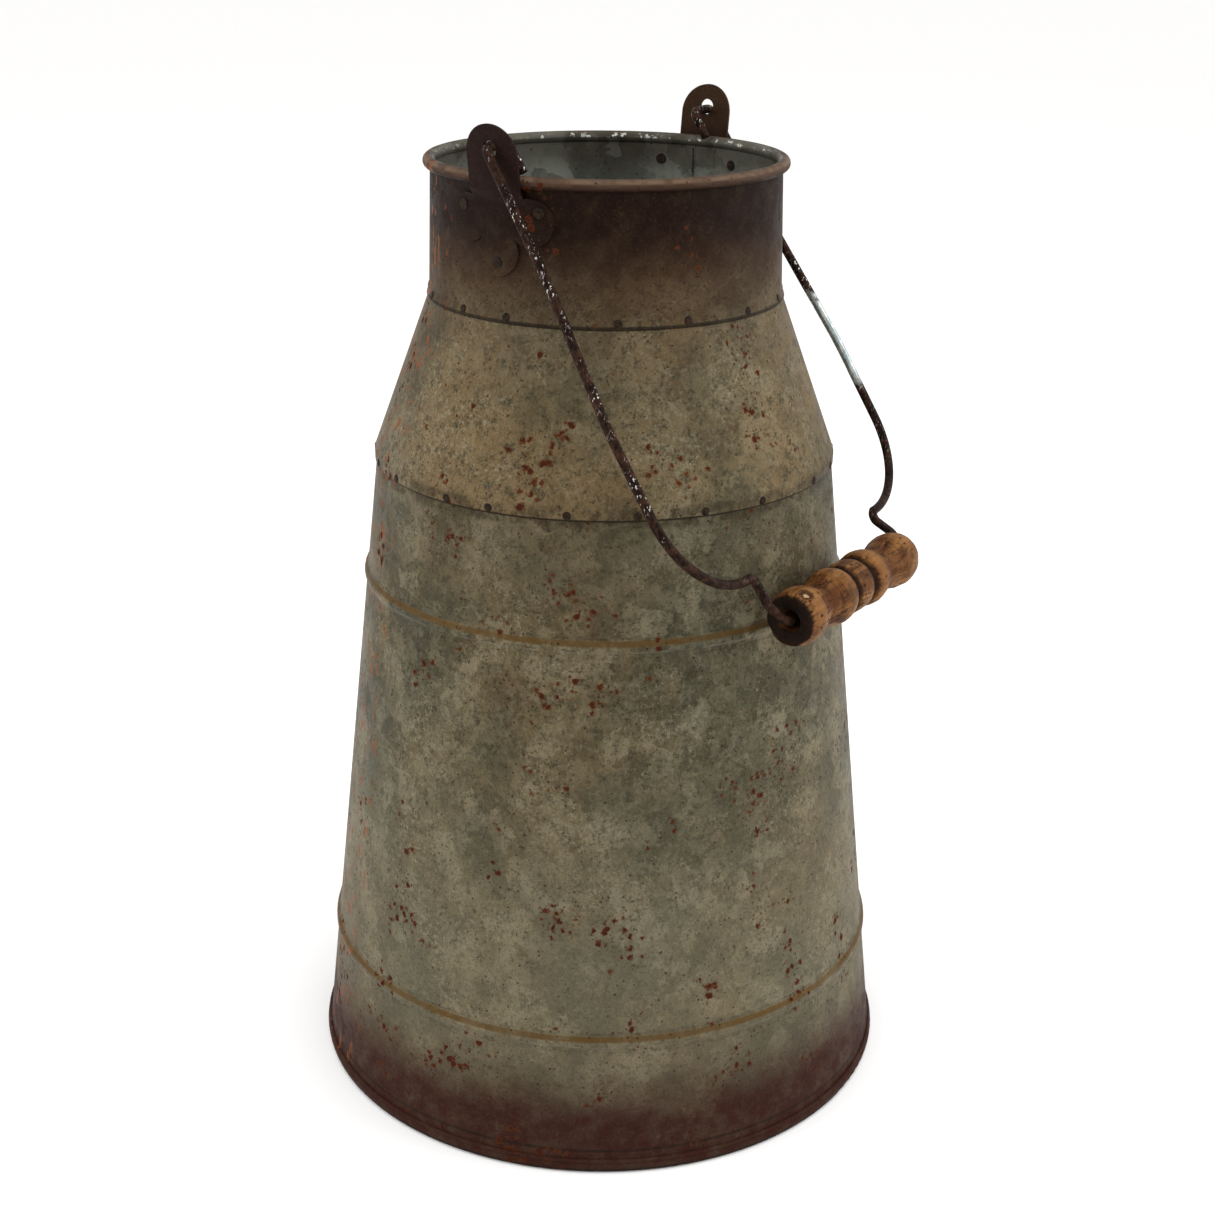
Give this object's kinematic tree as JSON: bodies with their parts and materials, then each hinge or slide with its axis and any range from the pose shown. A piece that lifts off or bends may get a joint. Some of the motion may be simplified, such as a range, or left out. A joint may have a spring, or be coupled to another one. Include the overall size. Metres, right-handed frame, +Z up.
{
  "type": "florist bucket",
  "caption": "Milk-can shaped metal florist bucket: tapered ribbed wall, sloped shoulder, short neck with rolled rim, two ears and a swinging wire bail with a turned wooden grip.",
  "frame": {"origin": "centre of the foot ring, on the surface the bucket stands on", "axes": "+Z up along the bucket's axis; the two ears are on +X and -X; the bail hangs down towards -Y"},
  "size_m": [0.217, 0.217, 0.3557],
  "materials": {
    "galvanised_sheet": "weathered galvanised sheet, olive grey with spangle, rust spots and a dark wash at the ends",
    "dark_seam": "dark brown antiqued seam metal, satin",
    "dark_ear": "dark brown antiqued steel, satin",
    "bail_steel": "dark brown-black lacquered wire, chipped to bright metal",
    "weld_steel": "dark rough weld metal",
    "stained_wood": "stained and worn turned hardwood"
  },
  "bodies": {
    "bucket": {"body_wall": "galvanised_sheet", "base_pan": "dark_seam", "shoulder_cone": "galvanised_sheet", "neck_band": "galvanised_sheet", "rim_wire": "bail_steel", "ear_front": "dark_ear", "ear_back": "dark_ear", "ear_front_welds": "weld_steel", "ear_back_welds": "weld_steel", "shoulder_seam_welds": "weld_steel", "neck_seam_welds": "weld_steel"},
    "bail": {"bail_wire": "bail_steel"},
    "grip": {"wooden_grip": "stained_wood"}
  },
  "joints": [
    {"name": "bail_swing", "type": "hinge", "parent": "bucket", "child": "bail", "pos_m": [0, 0, 0.347], "axis": [-1, 0, 0], "range_deg": [0, 293.7]},
    {"name": "grip_spin", "type": "hinge", "parent": "bail", "child": "grip", "pos_m": [0, -0.09655, 0.19865], "axis": [1, 0, 0], "continuous": true}
  ]
}
